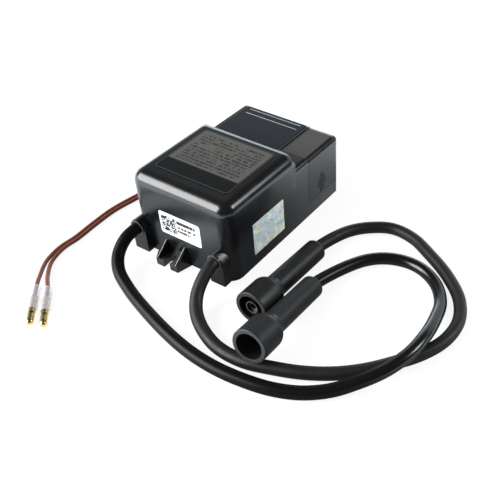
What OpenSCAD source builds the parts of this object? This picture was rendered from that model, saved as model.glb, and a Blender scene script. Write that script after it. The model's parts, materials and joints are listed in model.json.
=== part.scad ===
// Ignition transformer: a stepped black case with two high-voltage leads that end in rubber
// boots, two supply leads that end in sleeved bullet terminals, and a lift-off fuse cover.
// Origin: centre of the case's footprint, on the surface that it stands on.
// +Z is up, -Y is the end face that the high-voltage leads leave, +X is the fuse cover's side.

/* [Case] */
// Width of the case
case_w = 68; // [66:0.5:76]
// Height of the tall front block
front_h = 50.2; // [49.6:0.1:60]
// Length of the tall front block
front_l = 60.5; // [56:0.5:68]
// Length of the low rear block
rear_l = 43.5; // [40:0.5:50]
// Height of the low rear block
rear_h = 40.6; // [38:0.1:42]
// Thickness of the case's walls
wall = 2.4; // [1.8:0.1:2.6]
// Radius of the front block's upright corners
corner_r = 8; // [7.4:0.1:10]
// Radius of the front block's top edges
crown_r = 7; // [5:0.1:7.2]
// Radius rolled on the rim at the back of the front block
rim_r = 1.2; // [0.6:0.1:1.6]
// Radius of the rear block's top edge on the cover's side
rear_crown_r = 3.4; // [3:0.1:3.6]
// Radius of the rear block's upright corner away from the cover
rear_corner_r = 3; // [2:0.1:5]
// Radius of the rear block's other edges
rear_edge_r = 0.8; // [0.5:0.1:1.2]

/* [Lead bosses] */
// Height of the leads' axes where they leave the case
lead_z = 16.2; // [12:0.1:20]
// Distance from the case's left side to the left boss's centre
boss_left_in = 4.9; // [4.8:0.1:9]
// Distance from the case's right side to the right boss's centre
boss_right_in = 8.1; // [7:0.1:12]
// Half width and top radius of a boss
boss_r = 4.9; // [4.8:0.1:6]
// How far a boss stands out of the front face
boss_out = 4.2; // [3:0.1:6]
// Outer radius of a lead's rubber collar
collar_r = 4.6; // [4.5:0.1:4.8]
// How far a collar stands out of its boss
collar_out = 1.0; // [0.6:0.1:1.6]
// Radius of the collar's spigot
spigot_r = 4.2; // [4:0.1:4.3]
// Depth of the collar's spigot
spigot_l = 2.0; // [1:0.1:3]

/* [Feet] */
// Centre of both feet, across the case
foot_x = -6; // [-10:0.5:6]
// Reach of a foot beyond the end face
foot_l = 9.2; // [8.4:0.1:14]
// Width of a foot at the end face
foot_root_w = 20; // [18:0.5:26]
// Width of a foot at its tip
foot_tip_w = 15; // [13:0.5:17]
// Thickness of a foot's plate
foot_t = 4.4; // [3:0.1:6]
// Height of a foot's gussets on the end face
gusset_h = 11.6; // [9:0.1:15]
// Thickness of a gusset along its top
gusset_t = 1.5; // [1.2:0.1:2]
// How much narrower the gussets stand at their top than at the base, each side
gusset_draft = 3; // [1:0.1:3.5]
// Radius of the fixing hole and half the width of the fixing slot
fix_r = 2.2; // [1.6:0.1:2.6]
// Distance from a foot's tip to the centre of its hole or slot
fix_in = 5; // [4.4:0.1:5.4]

/* [Fuse bay and cover] */
// Width of the cover on the rear block's top
cover_w = 19.4; // [18.8:0.1:20.6]
// Distance from the step to the cover's front edge
cover_in = 12.5; // [11.6:0.1:13.8]
// How far the cover's top lies below the rear block's
cover_drop = 0.6; // [0.3:0.1:1]
// Bottom edge of the cover on the case's side
cover_z = 9; // [8.8:0.1:11]
// Thickness of the cover
cover_t = 2; // [1.8:0.1:2.2]
// Seam between the cover and the case
seam = 0.25; // [0.2:0.05:0.4]
// Running gap between the cover and the walls of the fuse bay
slide_gap = 0.3; // [0.25:0.05:0.5]
// Thickness of the fuse bay's own walls
bay_wall = 1.6; // [1.2:0.1:1.8]
// Radius of the fuse's end caps
fuse_r = 2.6; // [2.4:0.05:3.1]
// Length of the fuse
fuse_l = 20; // [18:0.5:23]
// Length of one end cap
cap_l = 5; // [4:0.1:6]

/* [Labels] */
// Thickness of each label
label_t = 0.2; // [0.1:0.05:0.3]
// Bare strip between the rear label and the cover
label_gap = 1.5; // [0.6:0.1:2]
// Width of the rating label on the front block
rating_w = 50.4; // [40:0.1:52]
// Depth of the rating label on the front block
rating_d = 44.2; // [36:0.1:46]
// Width of the code label on the front face
code_w = 28.6; // [24:0.1:30]
// Height of the code label on the front face
code_h = 14.8; // [12:0.1:16]
// Width of the seal on the side
seal_w = 28.2; // [24:0.1:30]
// Height of the seal on the side
seal_h = 21; // [18:0.1:22]

/* [High-voltage leads and boots] */
// Diameter of a high-voltage lead
hv_d = 7; // [6.4:0.1:7]
// Gap round a lead where it passes through rubber or moulding
lead_gap = 0.15; // [0.1:0.05:0.25]
// Length of a boot
boot_l = 61; // [58:0.5:61]
// Outer radius of a boot's bell
bell_r = 9.5; // [9:0.1:9.6]
// Radius of the socket inside the bell
socket_r = 7.2; // [6.5:0.1:7.6]
// Depth of the socket inside the bell
socket_l = 14; // [11:0.1:15]
// Length of the bell's straight part
bell_l = 14; // [13:0.1:16]
// Length of the shoulder between the bell and the stem
shoulder_l = 8; // [6:0.1:9]
// Outer radius of a boot's stem
stem_r = 6.3; // [5.6:0.1:6.3]
// Radius of the metal contact inside a boot
contact_r = 3.6; // [3.2:0.1:3.6]
// Radius of the hole in the contact
contact_hole_r = 2; // [1.5:0.1:2.4]
// Length of the contact
contact_l = 24; // [20:0.5:26]

/* [Supply leads and terminals] */
// Diameter of a supply lead
supply_d = 2.3; // [1.8:0.1:2.4]
// Outer radius of a terminal's clear sleeve
sleeve_r = 2.85; // [2.7:0.05:3]
// Thickness of the sleeve
sleeve_t = 0.6; // [0.4:0.05:0.7]
// Length of the sleeve
sleeve_l = 17.5; // [15:0.5:19]
// Radius of a bullet
bullet_r = 2; // [1.8:0.05:2.05]
// Length of a bullet beyond its sleeve
bullet_out = 10.5; // [8:0.5:12]
// Distance from the step to the supply grommet's centre
grommet_in = 5.5; // [4.8:0.1:7]
// Height of the supply grommet's centre
grommet_z = 13; // [12:0.1:15]

/* [Transformer] */
// Width of the ferrite core
core_w = 40; // [38:0.5:41]
// Width of a core leg and height of a yoke
leg_w = 10; // [9:0.1:10.4]
// Depth of the core, front to back
core_d = 12; // [10:0.5:13]
// Depth of resin and slack above the core
core_head = 2.8; // [2.2:0.1:4]
// Outer width and depth of a bobbin's flanges
flange_w = 24; // [23:0.1:25]
// Thickness of a bobbin's flanges and tube
bobbin_t = 1.2; // [1:0.1:1.4]
// Gap between the core and the bobbins
core_gap = 0.15; // [0.1:0.05:0.25]
// Distance from the front face to the core's centre
core_in = 31; // [29:0.5:33]

/* [Circuit board] */
// Thickness of the circuit board
board_t = 1.6; // [1:0.1:1.6]
// Height of the board's underside above the base plate
standoff_h = 3; // [2.6:0.1:3.2]
// Thickness of the base plate
base_t = 2.4; // [2:0.1:2.6]
// Clearance between the parts on the board
part_gap = 1; // [0.8:0.1:1.2]
// Height of the storage capacitor
storage_h = 25; // [20:0.5:27]
// Depth of the film capacitor
film_d = 11; // [9:0.5:12]
// Height of the film capacitor
film_h = 18; // [14:0.5:22]
// Radius of the choke's flanges
choke_r = 7; // [6:0.1:7.4]
// Height of the choke
choke_h = 16; // [12:0.5:18]
// Thickness of the choke's flanges
choke_t = 1.5; // [1.2:0.1:2]
// Width of the heat sink
sink_w = 15; // [13:0.5:16]
// Height of the heat sink
sink_h = 24; // [22:0.5:27]
// Thickness of the heat sink's plate and depth of its fins
sink_t = 1.6; // [1.2:0.1:2]
// Length of the input terminal block
terminal_l = 10; // [9:0.5:11]
// Width of the input terminal block
terminal_w = 7; // [6:0.5:8]

/* [Hidden] */
$fn = 48;
tiny = 0.01;
fit_gap = 0.1;
half_w = case_w / 2;
case_l = front_l + rear_l;
front_y = -case_l / 2;
rear_y = case_l / 2;
step_y = front_y + front_l;
inner_w = case_w - 2 * wall;
boss_left_x = -half_w + boss_left_in;
boss_right_x = half_w - boss_right_in;
board_z = base_t + standoff_h;
board_top = board_z + board_t;
cover_x = half_w - cover_w;
cover_y = step_y + cover_in;
bay_floor_z = cover_z - bay_wall;
bay_x1 = half_w - cover_t - slide_gap;
bay_y1 = rear_y - cover_t - slide_gap;
cover_top = rear_h - cover_drop;
bay_z1 = cover_top - cover_t - slide_gap;
clip_t = 0.4;
fuse_x = (cover_x + bay_x1 - bay_wall) / 2;
fuse_y = (cover_y + bay_y1 - bay_wall) / 2;
fuse_z = cover_z + clip_t + fuse_r + 0.05;
pin_w = 0.8;
clip_ys = [fuse_y - fuse_l / 2 + cap_l / 2, fuse_y + fuse_l / 2 - cap_l / 2];
grommet_y = step_y + grommet_in;
grommet_r = supply_d + 2 * lead_gap + 1;
supply_pitch = supply_d + 2 * lead_gap + 0.3;
post_x = inner_w / 2 - 4;
post_ys = [step_y + 5, rear_y - wall - 5];
pin_gap = 0.2;
collar_y = front_y - boss_out - collar_out;
bore_r = hv_d / 2 + lead_gap;
lead_start_y = front_y + wall + 6;
contact_left_at = socket_l + 0.3;
contact_right_at = 0.8;
leg_x = core_w / 2 - leg_w / 2;
core_y = front_y + core_in;
core_z = base_t + fit_gap;
core_h = front_h - wall - core_z - core_head;
window_h = core_h - 2 * leg_w;
section_n = 4;
section_h = (window_h - 2 * core_gap - bobbin_t) / section_n;
tube_w = leg_w + 2 * core_gap + 2 * bobbin_t;
tube_d = core_d + 2 * core_gap + 2 * bobbin_t;
edge_gap = 0.4;
parts_x0 = -inner_w / 2 + edge_gap + 2 * part_gap;
parts_x1 = cover_x - bay_wall - part_gap;
parts_y1 = rear_y - wall - 2 * part_gap;
terminal_y1 = grommet_y + terminal_l / 2;
choke_x = parts_x1 - choke_r;
choke_y = parts_y1 - choke_r;
film_l = choke_x - choke_r - part_gap - parts_x0;
storage_d = parts_y1 - film_d - 2 * part_gap - terminal_y1;
sink_x = parts_x1 - sink_w;
sink_y = step_y + part_gap + sink_t;
transistor_w = sink_w * 2 / 3;
transistor_d = 4.4;
resistor_y0 = sink_y + sink_t + transistor_d + part_gap;
resistor_pitch = (choke_y - choke_r - part_gap - resistor_y0) / 3;
chip_d = cover_in - bay_wall - 4 * part_gap;

// Each boot: the place of its mouth, its heading in the plan, the height that its bell rests
// at, how far from the mouth it rests, the height of its stem's far end, and how deep its
// contact sits
boot_left_lie = [78.3, -95.7, 93.6, hv_d + 0.1, 2.8, 1, contact_left_at];
boot_right_lie = [59.3, -69.8, 90.3, 0.05, bell_l, 0.05, contact_right_at];
boot_end_r = 1.5;

// Route of the left high-voltage lead, from its collar to its boot's stem
route_left = [
    [-30.2, -65, 14], [-28.6, -73.6, 9.4], [-21.9, -81.1, 6.2], [-8.9, -87.7, 4.2],
    [10.7, -94.9, 3.5], [31.8, -101.2, 3.5], [48.4, -104.6, 3.5], [65, -105.8, 3.5],
    [81.4, -104.6, 3.5], [95.2, -101.8, 3.5], [107, -97, 3.5], [119, -89, 4.6],
    [129, -79, 7.2], [137, -68, 9.6], [142, -54, 10.8], [143, -40, 10.4],
    [141, -24, 7.6], [136.5, -8, 4.6], [126.8, 4.7, 3.5], [112.7, 11.2, 3.5],
    [97.7, 9.3, 3.5], [85.8, -0.6, 4]
];

// Route of the right high-voltage lead, from its collar to its boot's stem
route_right = [
    [26.2, -66, 13.4], [28, -74.6, 8.6], [33.4, -82.4, 5], [43, -89.2, 3.5],
    [57.2, -94.8, 3.5], [73, -95.3, 3.5], [88, -91.2, 3.5], [102, -85.8, 3.5],
    [115, -78.2, 3.5], [126, -68.8, 3.5], [136.1, -56.9, 3.5], [145.1, -43.9, 3.5],
    [150.4, -30, 3.5], [150.4, -15, 3.5], [143.7, -0.2, 3.5], [129.8, 13.5, 3.5],
    [113.8, 24.1, 3.5], [99, 31.8, 3.5], [85, 33.2, 3.5], [73.4, 27, 3.6],
    [64.8, 16, 4.4]
];

// Routes of the supply leads, from their grommet to their sleeves
route_supply_a = [
    [-43.8, 14.6, 11.2], [-52.8, 11, 6.6], [-59.8, 2.6, 2.8], [-64.8, -10.4, 1.2],
    [-67.8, -25.4, 1.2], [-69.8, -40.2, 1.2], [-69.4, -56, 1.2], [-68.4, -70, 1.2],
    [-68.8, -82, 1.2], [-66, -93.6, 1.2], [-59, -104.2, 1.9]
];
route_supply_b = [
    [-43.8, 12.2, 11.2], [-51.8, 8.6, 6.6], [-57.8, 0.6, 2.8], [-62.6, -11.4, 1.2],
    [-65.4, -26.4, 1.2], [-67.4, -40.2, 1.2], [-67, -56, 1.2], [-66, -70, 1.2],
    [-66.4, -81, 1.2], [-63.2, -92.2, 1.2], [-55, -102.4, 1.9]
];
sleeve_a_at = [-52.3, -112.3];
sleeve_a_heading = -48;
sleeve_b_at = [-46.2, -110];
sleeve_b_heading = -46;

// Plan of a block whose front corners are rounded: centred in x, running back from y = 0
module block_plan(w, l, r) {
    translate([-w / 2, r]) square([w, l - r]);
    translate([-w / 2 + r, 0]) square([w - 2 * r, l]);
    for (side = [-1, 1]) translate([side * (w / 2 - r), r]) circle(r);
}

// Block with rounded upright corners and a rolled top edge at the front and both sides
module crowned_block(w, l, h, corner, crown) {
    linear_extrude(h - crown) block_plan(w, l, corner);
    linear_extrude(h) translate([0, crown]) block_plan(w - 2 * crown, l - crown, corner - crown);
    for (side = [-1, 1])
        translate([side * (w / 2 - crown), corner, h - crown])
            rotate([-90, 0, 0]) cylinder(r = crown, h = l - corner);
    translate([-w / 2 + corner, crown, h - crown])
        rotate([0, 90, 0]) cylinder(r = crown, h = w - 2 * corner);
    for (side = [-1, 1])
        translate([side * (w / 2 - corner), corner, h - crown]) crown_corner(corner, crown);
}

// The rolled edge where it turns an upright corner
module crown_corner(corner, crown) {
    rotate_extrude()
        intersection() {
            union() {
                translate([corner - crown, 0]) circle(crown);
                translate([0, -crown]) square([corner - crown + tiny, 2 * crown]);
            }
            translate([0, -crown]) square([corner, 2 * crown]);
        }
}

module front_block() {
    translate([0, front_y, 0]) crowned_block(case_w, front_l, front_h, corner_r, crown_r);
}

// Outline of w by h from the origin, whose two top corners have radii of their own
module arch(w, h, left_r, right_r) {
    translate([left_r, 0]) square([w - left_r - right_r, h]);
    square([left_r, h - left_r]);
    translate([w - right_r, 0]) square([right_r, h - right_r]);
    translate([left_r, h - left_r]) circle(left_r);
    translate([w - right_r, h - right_r]) circle(right_r);
}

// Rear block: its outlines from the rear, from above and from the side, cut with one another
module rear_block() {
    intersection() {
        translate([-half_w, rear_y, 0])
            rotate([90, 0, 0])
                linear_extrude(rear_l) arch(case_w, rear_h, rear_edge_r, rear_crown_r);
        translate([-half_w, step_y, 0])
            linear_extrude(rear_h) arch(case_w, rear_l, rear_corner_r, rear_edge_r);
        translate([-half_w, step_y - corner_r, 0])
            rotate([90, 0, 90])
                linear_extrude(case_w) arch(rear_l + corner_r, rear_h, rear_edge_r, rear_edge_r);
    }
}

// Cuts that leave the back rim of the front block with a rolled edge
module rim_cut() {
    translate([-half_w - 1, step_y - rim_r, front_h - rim_r])
        difference() {
            cube([case_w + 2, rim_r + 1, rim_r + 1]);
            translate([-1, 0, 0]) rotate([0, 90, 0]) cylinder(r = rim_r, h = case_w + 4);
        }
}

// Round-topped boss that a high-voltage lead leaves through
module lead_boss(x) {
    translate([x - boss_r, front_y - boss_out, 0]) cube([2 * boss_r, boss_out + corner_r, lead_z]);
    translate([x, front_y + corner_r, lead_z])
        rotate([90, 0, 0]) cylinder(r = boss_r, h = boss_out + corner_r);
}

module lead_bore(x) {
    translate([x, front_y + corner_r + wall, lead_z])
        rotate([90, 0, 0]) cylinder(r = bore_r, h = boss_out + corner_r + wall + 1);
    translate([x, front_y - boss_out + spigot_l, lead_z])
        rotate([90, 0, 0]) cylinder(r = spigot_r + lead_gap / 3, h = spigot_l + 1);
}

// Outline of a foot seen from its tip, with the draft of its gussets
module foot_front() {
    polygon([
        [-foot_root_w / 2, 0], [foot_root_w / 2, 0],
        [foot_root_w / 2 - gusset_draft, gusset_h], [-foot_root_w / 2 + gusset_draft, gusset_h]
    ]);
}

// Foot that reaches in +Y from its end face. Its gussets come from three outlines that are
// cut with one another: the side's slope, the front's draft and the plan's taper.
module foot(slotted) {
    difference() {
        intersection() {
            translate([-foot_root_w / 2, 0, 0])
                rotate([90, 0, 90])
                    linear_extrude(foot_root_w)
                        polygon([[0, 0], [foot_l, 0], [foot_l, foot_t], [0, gusset_h]]);
            translate([0, foot_l, 0]) rotate([90, 0, 0]) linear_extrude(foot_l) foot_front();
            linear_extrude(gusset_h)
                polygon([
                    [-foot_root_w / 2, 0], [foot_root_w / 2, 0],
                    [foot_tip_w / 2, foot_l], [-foot_tip_w / 2, foot_l]
                ]);
        }
        translate([-foot_tip_w / 2 + gusset_t, -1, foot_t])
            cube([foot_tip_w - 2 * gusset_t, foot_l + 2, gusset_h]);
        translate([0, foot_l - fix_in, -1]) cylinder(r = fix_r, h = foot_t + 2);
        if (slotted)
            translate([-fix_r, foot_l - fix_in, -1]) cube([2 * fix_r, fix_in + 1, foot_t + 2]);
    }
}

module front_foot() {
    color("#17181b") translate([foot_x, front_y, 0]) mirror([0, 1, 0]) foot(true);
}

module rear_foot() {
    color("#17181b") translate([foot_x, rear_y, 0]) foot(false);
}

// Space inside the case, open at the bottom
module cavity() {
    join_y = step_y - wall - 2;
    translate([0, front_y + wall, -1])
        crowned_block(inner_w, front_l - 2 * wall, front_h - wall + 1, corner_r - wall, crown_r - wall);
    translate([-inner_w / 2, join_y, -1])
        cube([inner_w, rear_y - wall - join_y, bay_floor_z + 1]);
    translate([-inner_w / 2, join_y, -1])
        cube([inner_w / 2 + cover_x - bay_wall, rear_y - wall - join_y, rear_h - wall + 1]);
    translate([-inner_w / 2, join_y, -1])
        cube([inner_w, cover_y - bay_wall - join_y, rear_h - wall + 1]);
}

// Everything above and outside the ledge that the fuse cover stands on
module cover_space(gap) {
    translate([cover_x + gap, cover_y + gap, cover_z + gap])
        cube([half_w, rear_y, rear_h]);
}

// The fuse bay's floor, which the cover stands on, and its right and rear walls
module bay_walls() {
    intersection() {
        rear_block();
        translate([cover_x - bay_wall, cover_y - bay_wall, bay_floor_z])
            cube([half_w, rear_y, bay_wall]);
    }
    translate([bay_x1 - bay_wall, cover_y - bay_wall, bay_floor_z])
        cube([bay_wall, bay_y1 - cover_y + bay_wall, bay_z1 - bay_floor_z]);
    translate([cover_x - bay_wall, bay_y1 - bay_wall, bay_floor_z])
        cube([bay_x1 - cover_x + bay_wall, bay_wall, bay_z1 - bay_floor_z]);
}

// Slot through which a clip's pin drops to the board
module pin_slot(y) {
    translate([fuse_x - pin_w / 2 - pin_gap, y - pin_w / 2 - pin_gap, bay_floor_z - 1])
        cube([pin_w + 2 * pin_gap, pin_w + 2 * pin_gap, bay_wall + 2]);
}

module front_case() {
    color("#17181b")
        difference() {
            front_block();
            rim_cut();
            cavity();
            lead_bore(boss_left_x);
            lead_bore(boss_right_x);
        }
}

module rear_case() {
    color("#17181b")
        difference() {
            union() {
                difference() {
                    rear_block();
                    cavity();
                    cover_space(0);
                }
                bay_walls();
            }
            translate([-half_w - 1, grommet_y, grommet_z])
                rotate([0, 90, 0]) cylinder(r = grommet_r, h = wall + 2);
            for (y = clip_ys) pin_slot(y);
        }
}

module boss(x) {
    color("#17181b")
        difference() {
            lead_boss(x);
            front_block();
            lead_bore(x);
        }
}

module base_plate() {
    color("#2b2b2e") {
        translate([0, front_y + wall + fit_gap, 0])
            linear_extrude(base_t)
                block_plan(inner_w - 2 * fit_gap, case_l - 2 * wall - 2 * fit_gap, corner_r - wall);
        for (x = [-1, 1], y = post_ys)
            translate([x * post_x, y, 0]) cylinder(r = 2.4, h = board_z);
    }
}

// Resin that fills the front block round the transformer and the leads' inner ends
module potting_compound() {
    pocket_w = leg_x * 2 + flange_w + 2 * fit_gap;
    color("#3a3430")
        difference() {
            translate([0, front_y + wall + fit_gap, base_t + fit_gap])
                crowned_block(
                    inner_w - 2 * fit_gap, front_l - 2 * wall - 2 * fit_gap,
                    front_h - wall - base_t - 2 * fit_gap, corner_r - wall - fit_gap,
                    crown_r - wall - fit_gap
                );
            translate([-pocket_w / 2, core_y - flange_w / 2 - fit_gap, 0])
                cube([pocket_w, flange_w + 2 * fit_gap, core_z + core_h + fit_gap]);
            for (x = [boss_left_x, boss_right_x])
                translate([x, lead_start_y + fit_gap, lead_z])
                    rotate([90, 0, 0]) cylinder(r = bore_r, h = case_l);
        }
}

module fuse_cover() {
    color("#1b1c1f") {
        difference() {
            intersection() {
                translate([0, 0, -cover_drop]) rear_block();
                cover_space(seam);
            }
            translate([0, step_y, 0])
                cube([half_w - cover_t, rear_y - cover_t - step_y, cover_top - cover_t]);
        }
        cover_arrow();
    }
}

// Raised bars that make an arrow, pointing the way the cover lifts
module cover_arrow() {
    bars = [4, 4, 9, 7, 5, 3];
    mid_y = (cover_y + rear_y) / 2 - 1;
    for (i = [0 : len(bars) - 1])
        translate([half_w - 0.1, mid_y - bars[i] / 2, cover_z + 1.8 + 2.2 * i])
            cube([0.35, bars[i], 1]);
}

module fuse_glass() {
    color("#cfe0e4", 0.5)
        translate([fuse_x, fuse_y + fuse_l / 2 - cap_l, fuse_z])
            rotate([90, 0, 0]) cylinder(r = fuse_r - 0.25, h = fuse_l - 2 * cap_l);
}

module fuse_cap(y) {
    color("#c9c9c4")
        translate([fuse_x, y + cap_l / 2, fuse_z])
            rotate([90, 0, 0]) cylinder(r = fuse_r, h = cap_l);
}

// Spring clip: a U that holds one end cap, with a pin down to the board
module fuse_clip(y) {
    arm_x = fuse_r + 0.05;
    clip_w = cap_l - 1;
    color("#b89a52")
        translate([fuse_x, y + clip_w / 2, cover_z]) {
            rotate([90, 0, 0])
                linear_extrude(clip_w)
                    for (side = [-1, 1])
                        translate([side * (arm_x + clip_t / 2) - clip_t / 2, 0])
                            square([clip_t, fuse_z - cover_z + fuse_r * 0.9]);
            translate([-arm_x - clip_t, -clip_w, 0]) cube([2 * arm_x + 2 * clip_t, clip_w, clip_t]);
            translate([-pin_w / 2, -clip_w / 2 - pin_w / 2, board_z - cover_z])
                cube([pin_w, pin_w, cover_z - board_z + clip_t]);
        }
}

// Plate with rounded corners, lying in the plane it is drawn in
module label_plate(w, d, r) {
    linear_extrude(label_t)
        union() {
            translate([-w / 2 + r, -d / 2]) square([w - 2 * r, d]);
            translate([-w / 2, -d / 2 + r]) square([w, d - 2 * r]);
            for (x = [-1, 1], y = [-1, 1])
                translate([x * (w / 2 - r), y * (d / 2 - r)]) circle(r);
        }
}

module rating_label() {
    color("#77777a")
        translate([0, (front_y + corner_r + step_y) / 2 - 0.6, front_h])
            label_plate(rating_w, rating_d, 2.5);
}

module rear_label() {
    label_x0 = -half_w + rear_corner_r;
    label_w = cover_x - label_x0 - label_gap;
    label_y0 = step_y + 0.4;
    label_d = rear_y - rear_edge_r - 0.4 - label_y0;
    color("#2a2e34")
        translate([label_x0 + label_w / 2, label_y0 + label_d / 2, rear_h])
            label_plate(label_w, label_d, 1);
}

module code_label() {
    color("#f2f2f0")
        translate([-0.6, front_y, front_h / 2 - 0.9])
            rotate([90, 0, 0]) label_plate(code_w, code_h, 1.4);
}

module side_seal() {
    color("#c6d0cc")
        translate([half_w, front_y + 19.2 + seal_w / 2, 7.5 + seal_h / 2])
            rotate([90, 0, 90]) label_plate(seal_w, seal_h, 0.5);
}

// Rubber ring round a lead, with a spigot in its boss
module collar(x) {
    color("#1f1f21")
        translate([x, collar_y, lead_z])
            rotate([-90, 0, 0])
                difference() {
                    union() {
                        cylinder(r = collar_r, h = collar_out);
                        cylinder(r = spigot_r, h = collar_out + spigot_l - fit_gap);
                    }
                    translate([0, 0, -1]) cylinder(r = bore_r, h = collar_out + spigot_l + 2);
                }
}

// Tilt of a boot that lies on its bell and on the end of its stem
function boot_tilt(lie) =
    let (run = boot_l - boot_end_r - lie[4], drop = bell_r - stem_r)
    atan2(drop, run) + asin((lie[3] - lie[5]) / norm([run, drop]));

// Point at a distance from a boot's mouth, along its axis
function boot_point(lie, along) =
    let (tilt = boot_tilt(lie), flat = along * cos(tilt))
    [
        lie[0] + flat * cos(lie[2]),
        lie[1] + flat * sin(lie[2]),
        lie[3] + bell_r * cos(tilt) + (lie[4] - along) * sin(tilt)
    ];

// Places a child that is drawn along +Z from the mouth at z = 0
module on_boot(lie) {
    translate(boot_point(lie, 0)) rotate([0, 90 + boot_tilt(lie), lie[2]]) children();
}

// Half section of a boot, to be turned about its axis
module boot_section() {
    lip_r = 0.6;
    half_step = (bell_r - stem_r) / 2;
    bend_r = (pow(shoulder_l / 2, 2) + pow(half_step, 2)) / (2 * half_step);
    difference() {
        union() {
            translate([0, lip_r]) square([bell_r, bell_l - lip_r]);
            square([bell_r - lip_r, bell_l]);
            translate([bell_r - lip_r, lip_r]) circle(lip_r);
            intersection() {
                translate([bell_r - bend_r, bell_l]) circle(bend_r);
                translate([0, bell_l]) square([bell_r, shoulder_l / 2]);
            }
            difference() {
                translate([0, bell_l]) square([stem_r + half_step, shoulder_l]);
                translate([stem_r + bend_r, bell_l + shoulder_l]) circle(bend_r);
            }
            translate([0, bell_l]) square([stem_r, boot_l - bell_l - boot_end_r]);
            translate([0, bell_l]) square([stem_r - boot_end_r, boot_l - bell_l]);
            translate([stem_r - boot_end_r, boot_l - boot_end_r]) circle(boot_end_r);
        }
        translate([-1, -1]) square([socket_r + 1, socket_l + 1]);
        translate([-1, -1]) square([bore_r + 1, boot_l + 2]);
        translate([-2 * bell_r, -1]) square([2 * bell_r, boot_l + 2]);
    }
}

module boot(lie) {
    color("#232426") on_boot(lie) rotate_extrude() boot_section();
}

// Metal socket in the boot, with a widened mouth, that the far terminal pushes into
module contact(lie) {
    outer_r = min(contact_r, bore_r - fit_gap / 2);
    color("#8d8d88")
        on_boot(lie)
            translate([0, 0, lie[6]])
                difference() {
                    cylinder(r = outer_r, h = contact_l);
                    translate([0, 0, -1]) cylinder(r = contact_hole_r, h = 13);
                    translate([0, 0, -1]) cylinder(r = outer_r - 0.5, h = 3);
                }
}

// Unit vector
function unit(v) = v / norm(v);

// Direction of a route at its point i
function heading_at(p, i) =
    unit(p[min(i + 1, len(p) - 1)] - p[max(i - 1, 0)]);

// Ring of points round a route's point, square to its direction
function ring(p, i, r, sides) =
    let (
        t = heading_at(p, i),
        across = unit(cross(t, [0, 0, 1])),
        up = cross(across, t)
    )
    [for (k = [0 : sides - 1]) p[i] + r * (cos(360 * k / sides) * across + sin(360 * k / sides) * up)];

// Round tube along a route, swept as one polyhedron
module swept_tube(p, r, sides) {
    n = len(p);
    points = [for (i = [0 : n - 1]) each ring(p, i, r, sides)];
    walls = [
        for (i = [0 : n - 2], k = [0 : sides - 1])
            let (a = i * sides + k, b = i * sides + (k + 1) % sides)
            each [[a, b, b + sides], [a, b + sides, a + sides]]
    ];
    first = [for (k = [sides - 1 : -1 : 0]) k];
    last = [for (k = [0 : sides - 1]) (n - 1) * sides + k];
    polyhedron(points, concat([first], walls, [last]));
}

// A lead's whole run: inside the case, through its collar, along its route and into its boot
function hv_run(x, route, lie) =
    concat(
        [[x, lead_start_y, lead_z], [x, collar_y - 1, lead_z]],
        route,
        [boot_point(lie, boot_l + 3), boot_point(lie, lie[6] + contact_l + fit_gap)]
    );

module hv_lead(x, route, lie) {
    color("#101113") swept_tube(hv_run(x, route, lie), hv_d / 2, 10);
}

// Rubber grommet in the left wall, with one hole for each supply lead
module supply_grommet() {
    color("#202022")
        translate([-half_w - 1.2, grommet_y, grommet_z])
            rotate([0, 90, 0])
                difference() {
                    union() {
                        cylinder(r = grommet_r + 1.2, h = 1.2);
                        cylinder(r = grommet_r - fit_gap / 2, h = wall + 1.2);
                    }
                    for (y = [-1, 1])
                        translate([0, y * supply_pitch / 2, -1])
                            cylinder(r = supply_d / 2 + lead_gap, h = wall + 4);
                }
}

// Point at a distance from a sleeve's lead end, along its axis
function sleeve_point(at, heading, along) =
    [at[0] + along * cos(heading), at[1] + along * sin(heading), sleeve_r];

function supply_run(side, route, at, heading) =
    concat(
        [
            [-half_w + wall + 0.5, grommet_y + side * supply_pitch / 2, grommet_z],
            [-half_w - 3, grommet_y + side * supply_pitch / 2, grommet_z]
        ],
        route,
        [sleeve_point(at, heading, -1), sleeve_point(at, heading, sleeve_l * 0.42)]
    );

module supply_lead(side, route, at, heading) {
    color("#5a3226") swept_tube(supply_run(side, route, at, heading), supply_d / 2, 8);
}

module on_sleeve(at, heading) {
    translate(sleeve_point(at, heading, 0)) rotate([0, 90, heading]) children();
}

// Clear sleeve: a tube that narrows a little at both ends
module terminal_sleeve(at, heading) {
    taper = 1.5;
    color("#dfe6e8", 0.4)
        on_sleeve(at, heading)
            rotate_extrude()
                difference() {
                    polygon([
                        [0, 0], [sleeve_r - 0.5, 0], [sleeve_r, taper],
                        [sleeve_r, sleeve_l - taper], [sleeve_r - 0.4, sleeve_l], [0, sleeve_l]
                    ]);
                    translate([-1, -1]) square([sleeve_r - sleeve_t + 1, sleeve_l + 2]);
                    translate([-5, -1]) square([5, sleeve_l + 2]);
                }
}

// Bullet terminal: crimp barrel inside the sleeve, collar and domed pin outside it
module bullet(at, heading) {
    barrel_r = min(bullet_r, sleeve_r - sleeve_t) - 0.1;
    start = sleeve_l * 0.42 + fit_gap;
    out = sleeve_l + bullet_out;
    color("#c9a227")
        on_sleeve(at, heading)
            rotate_extrude()
                intersection() {
                    union() {
                        translate([0, start]) square([barrel_r, sleeve_l + 0.3 - start]);
                        translate([0, sleeve_l]) square([bullet_r - 0.6, bullet_out / 2]);
                        translate([0, sleeve_l + 0.3]) square([bullet_r, bullet_out * 0.2]);
                        translate([0, sleeve_l + bullet_out * 0.36])
                            square([bullet_r, bullet_out * 0.64 - bullet_r]);
                        translate([0, out - bullet_r]) circle(bullet_r);
                    }
                    square([bullet_r, out]);
                }
}

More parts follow.
